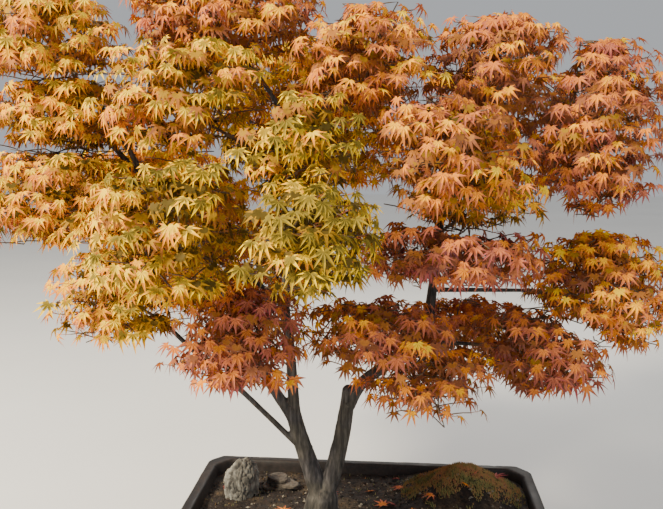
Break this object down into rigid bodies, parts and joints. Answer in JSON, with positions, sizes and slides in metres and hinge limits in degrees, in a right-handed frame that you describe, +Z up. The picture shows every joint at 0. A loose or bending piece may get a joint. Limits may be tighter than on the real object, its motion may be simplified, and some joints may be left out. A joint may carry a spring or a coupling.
{
  "type": "potted japanese maple tree",
  "caption": "Low forking japanese maple in autumn leaf with layered masses of foliage, in a long rectangular pot filled with soil, with stones beside the trunk.",
  "frame": {"origin": "middle of the pot's flat underside", "axes": "+Z up, +X along the pot's long side towards the right of the view, +Y away from the viewer"},
  "size_m": [1.4986, 1.087, 1.3713],
  "materials": {
    "bark": "grey-brown bark, finely streaked",
    "leaf_gold": "golden autumn leaves",
    "leaf_amber": "amber autumn leaves",
    "leaf_rust": "rust-brown autumn leaves",
    "leaf_red": "red autumn leaves",
    "pot": "dark brown weathered stoneware",
    "soil": "damp soil with moss",
    "stone": "grey stone with pale lichen"
  },
  "bodies": {
    "root": {"trunk": "bark", "stem_left": "bark", "stem_right": "bark", "stem_thin": "bark", "leader_left": "bark", "limb_left": "bark", "limb_right": "bark", "leader_right": "bark", "bough_low_left": "bark", "bough_low_mid": "bark", "bough_low_front": "bark", "bough_low_right": "bark", "bough_right_low": "bark", "bough_front_left": "bark", "bough_front_mid": "bark", "bough_left_mid": "bark", "bough_left_top": "bark", "bough_upper_left": "bark", "bough_top_left": "bark", "bough_centre": "bark", "bough_front_right": "bark", "bough_right_upper": "bark", "bough_right_mid": "bark", "bough_mid_low": "bark", "bough_back_left": "bark", "bough_back_mid": "bark", "bough_back_right": "bark", "bough_back_low": "bark", "bough_back_low_right": "bark", "foliage_low_left": "leaf_amber", "foliage_low_mid": "leaf_rust", "foliage_low_front": "leaf_rust", "foliage_low_right": "leaf_rust", "foliage_right_low": "leaf_amber", "foliage_front_left": "leaf_gold", "foliage_front_mid": "leaf_gold", "foliage_left_low": "leaf_amber", "foliage_left_mid": "leaf_gold", "foliage_left_upper": "leaf_gold", "foliage_left_top": "leaf_amber", "foliage_upper_left": "leaf_gold", "foliage_top_left": "leaf_red", "foliage_centre": "leaf_gold", "foliage_top_mid": "leaf_amber", "foliage_front_right": "leaf_amber", "foliage_top_right": "leaf_rust", "foliage_right_upper": "leaf_red", "foliage_right_mid": "leaf_gold", "foliage_mid_low": "leaf_rust", "foliage_back_left": "leaf_amber", "foliage_back_mid": "leaf_gold", "foliage_back_right": "leaf_rust", "foliage_back_low": "leaf_amber", "foliage_back_low_right": "leaf_rust", "pot": "pot", "soil": "soil", "stone_tall": "stone", "stone_flat": "stone"}
  },
  "joints": []
}
